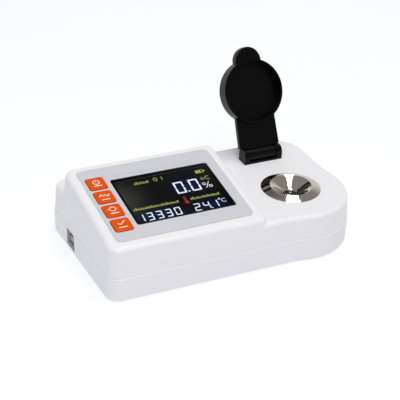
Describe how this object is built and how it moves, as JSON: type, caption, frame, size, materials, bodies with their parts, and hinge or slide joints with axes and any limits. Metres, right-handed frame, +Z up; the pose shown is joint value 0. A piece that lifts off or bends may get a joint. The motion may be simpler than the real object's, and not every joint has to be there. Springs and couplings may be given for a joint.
{
  "type": "digital benchtop refractometer",
  "caption": "White moulded benchtop refractometer: sloped console with display and press keys, steel sample well over a prism, and a black hinged flip cover.",
  "frame": {"origin": "centre of the footprint of the instrument with its cover open, at the height of the feet's lower faces", "axes": "+X to the right along the long side, +Y to the back where the cover hinges, +Z up"},
  "size_m": [0.1722, 0.1089, 0.1003],
  "materials": {
    "case_plastic": "white, fine satin moulding",
    "panel_plastic": "light grey, satin film",
    "window_clear": "smoked clear sheet, glossy",
    "display_glass": "dark display face",
    "key_orange": "orange, satin",
    "black_plastic": "black, satin moulding",
    "white_plastic": "natural white moulding",
    "grey_plastic": "grey moulding",
    "stainless_polished": "polished turned stainless steel",
    "steel": "plain zinc-plated steel",
    "tin_plate": "bright tin-plated sheet",
    "prism_glass": "polished optical glass",
    "lens_glass": "polished glass",
    "lamp_resin": "clear amber resin",
    "seal_rubber": "black nitrile",
    "foot_rubber": "black, matt",
    "optics_black": "black anodised",
    "board_green": "green solder mask",
    "chip_black": "black moulded packages",
    "battery_film": "blue shrink film"
  },
  "bodies": {
    "case_body": {"bottom_shell": "case_plastic", "top_shell": "case_plastic", "feet": "foot_rubber", "case_screws": "steel", "battery_pack": "battery_film", "main_board": "board_green", "board_components": "chip_black", "main_board_screws": "steel", "socket_can": "tin_plate", "socket_core": "grey_plastic", "display_panel": "panel_plastic", "display_window": "window_clear", "lcd_module": "display_glass", "lcd_frame": "white_plastic", "lcd_screws": "steel", "key_switches": "black_plastic", "key_board": "board_green", "key_board_screws": "steel", "sample_well": "stainless_polished", "prism": "prism_glass", "prism_seal": "seal_rubber", "optics_housing": "optics_black", "lens": "lens_glass", "light_source": "lamp_resin", "line_sensor": "chip_black", "sensor_board": "board_green", "sensor_screws": "steel", "temperature_probe": "steel", "optics_screws": "steel", "hinge_base": "black_plastic", "hinge_pin": "steel", "hinge_screws": "steel"},
    "cover_body": {"flip_cover": "black_plastic"},
    "key_body_1": {"key_1": "key_orange", "key_plunger_1": "white_plastic"},
    "key_body_2": {"key_2": "key_orange", "key_plunger_2": "white_plastic"},
    "key_body_3": {"key_3": "key_orange", "key_plunger_3": "white_plastic"},
    "key_body_4": {"key_4": "key_orange", "key_plunger_4": "white_plastic"}
  },
  "joints": [
    {"name": "cover_hinge", "type": "hinge", "parent": "case_body", "child": "cover_body", "pos_m": [0.0493, 0.02277, 0.0374], "axis": [1, 0, 0], "range_deg": [0, 116]},
    {"name": "key_1_press", "type": "slide", "parent": "case_body", "child": "key_body_1", "axis": [0, 0.1749, -0.9846], "range_m": [0, 0.0008], "stiffness_N_per_m": 1500},
    {"name": "key_2_press", "type": "slide", "parent": "case_body", "child": "key_body_2", "axis": [0, 0.1749, -0.9846], "range_m": [0, 0.0008], "stiffness_N_per_m": 1500},
    {"name": "key_3_press", "type": "slide", "parent": "case_body", "child": "key_body_3", "axis": [0, 0.1749, -0.9846], "range_m": [0, 0.0008], "stiffness_N_per_m": 1500},
    {"name": "key_4_press", "type": "slide", "parent": "case_body", "child": "key_body_4", "axis": [0, 0.1749, -0.9846], "range_m": [0, 0.0008], "stiffness_N_per_m": 1500}
  ]
}
